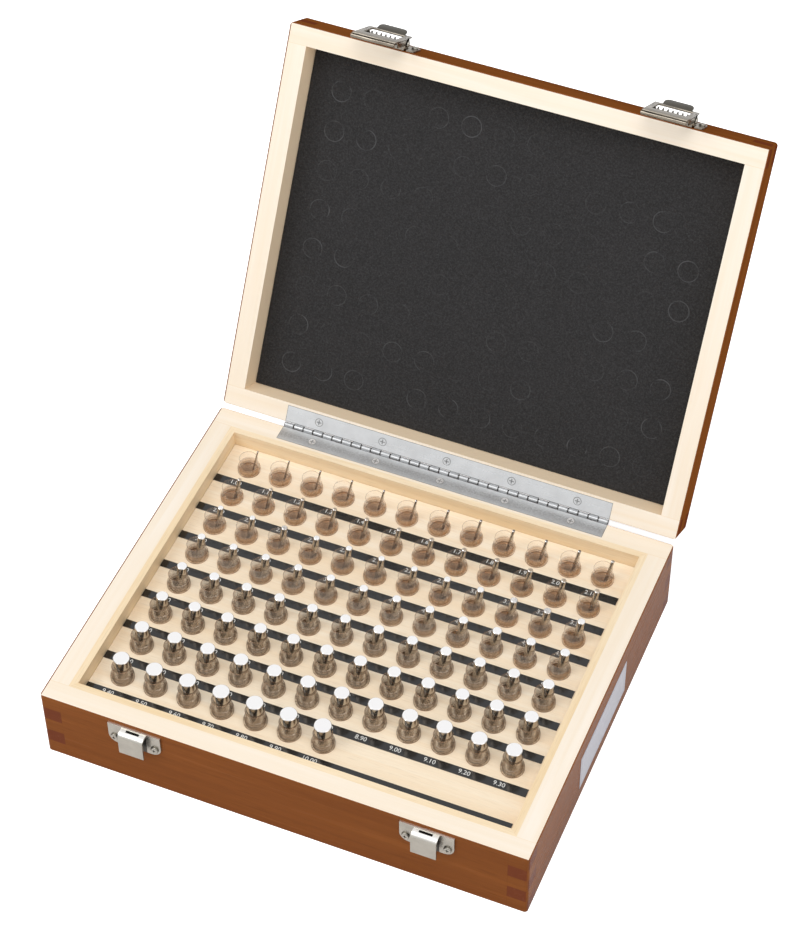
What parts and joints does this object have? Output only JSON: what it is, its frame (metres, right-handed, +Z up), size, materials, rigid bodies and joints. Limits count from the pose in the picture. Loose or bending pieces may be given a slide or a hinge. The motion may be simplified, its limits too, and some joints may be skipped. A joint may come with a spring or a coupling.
{
  "type": "pin gauge set",
  "caption": "Steel pin gauges standing in clear vials in a hinged wooden case, with number strips, a foam-lined lid, a piano hinge and two sprung latches.",
  "frame": {"origin": "middle of the case's underside, on the surface that it stands on", "axes": "+X to the right along the case's long side, +Y from the front with the latches to the back with the hinge, +Z up"},
  "size_m": [0.2922, 0.3849, 0.2752],
  "materials": {
    "stained_wood": "satin lacquer over a red-brown stain outside, bare on the rims and inside",
    "plain_wood": "bare sanded pale wood",
    "strip_plastic": "gloss black with white numbers",
    "clear_plastic": "clear moulded plastic",
    "pin_steel": "ground and lapped",
    "label_paper": "matt, left blank",
    "foam": "matt open-cell foam",
    "spring_steel": "bright plated wire",
    "nickel_plate": "satin nickel plate"
  },
  "bodies": {
    "base": {"base_front_wall": "stained_wood", "base_back_wall": "stained_wood", "base_left_wall": "stained_wood", "base_right_wall": "stained_wood", "base_bottom_panel": "plain_wood", "liner_front": "plain_wood", "liner_back": "plain_wood", "liner_left": "plain_wood", "liner_right": "plain_wood", "pin_board": "plain_wood", "board_bearer_left": "plain_wood", "board_bearer_right": "plain_wood", "size_strip_1": "strip_plastic", "size_strip_2": "strip_plastic", "size_strip_3": "strip_plastic", "size_strip_4": "strip_plastic", "size_strip_5": "strip_plastic", "size_strip_6": "strip_plastic", "size_strip_7": "strip_plastic", "size_strip_8": "strip_plastic", "vials_row_1": "clear_plastic", "vials_row_2": "clear_plastic", "vials_row_3": "clear_plastic", "vials_row_4": "clear_plastic", "vials_row_5": "clear_plastic", "vials_row_6": "clear_plastic", "vials_row_7": "clear_plastic", "vials_row_8": "clear_plastic", "pins_row_1": "pin_steel", "pins_row_2": "pin_steel", "pins_row_3": "pin_steel", "pins_row_4": "pin_steel", "pins_row_5": "pin_steel", "pins_row_6": "pin_steel", "pins_row_7": "pin_steel", "pins_row_8": "pin_steel", "hinge_base_leaf": "nickel_plate", "hinge_pin": "nickel_plate", "hinge_base_screws": "nickel_plate", "keeper_left": "nickel_plate", "keeper_right": "nickel_plate", "keeper_screws": "nickel_plate", "side_label": "label_paper"},
    "lid": {"lid_front_wall": "stained_wood", "lid_back_wall": "stained_wood", "lid_left_wall": "stained_wood", "lid_right_wall": "stained_wood", "lid_top_panel": "stained_wood", "lid_foam": "foam", "hinge_lid_leaf": "nickel_plate", "hinge_lid_screws": "nickel_plate", "latch_bracket_left": "nickel_plate", "latch_bracket_right": "nickel_plate", "latch_pins": "nickel_plate", "latch_springs": "spring_steel", "latch_screws": "nickel_plate"},
    "hasp_left": {"hasp_left": "nickel_plate"},
    "hasp_right": {"hasp_right": "nickel_plate"}
  },
  "joints": [
    {"name": "lid_hinge", "type": "hinge", "parent": "base", "child": "lid", "pos_m": [0, 0.1208, 0.0502], "axis": [1, 0, 0], "range_deg": [-60, 120]},
    {"name": "hasp_left_swing", "type": "hinge", "parent": "lid", "child": "hasp_left", "pos_m": [-0.0875, 0.24509, 0.26007], "axis": [-1, 0, 0], "range_deg": [0, 28], "stiffness_Nm_per_rad": 0.05, "springref_deg": -17.19},
    {"name": "hasp_right_swing", "type": "hinge", "parent": "lid", "child": "hasp_right", "pos_m": [0.0875, 0.24509, 0.26007], "axis": [-1, 0, 0], "range_deg": [0, 28], "stiffness_Nm_per_rad": 0.05, "springref_deg": -17.19}
  ]
}
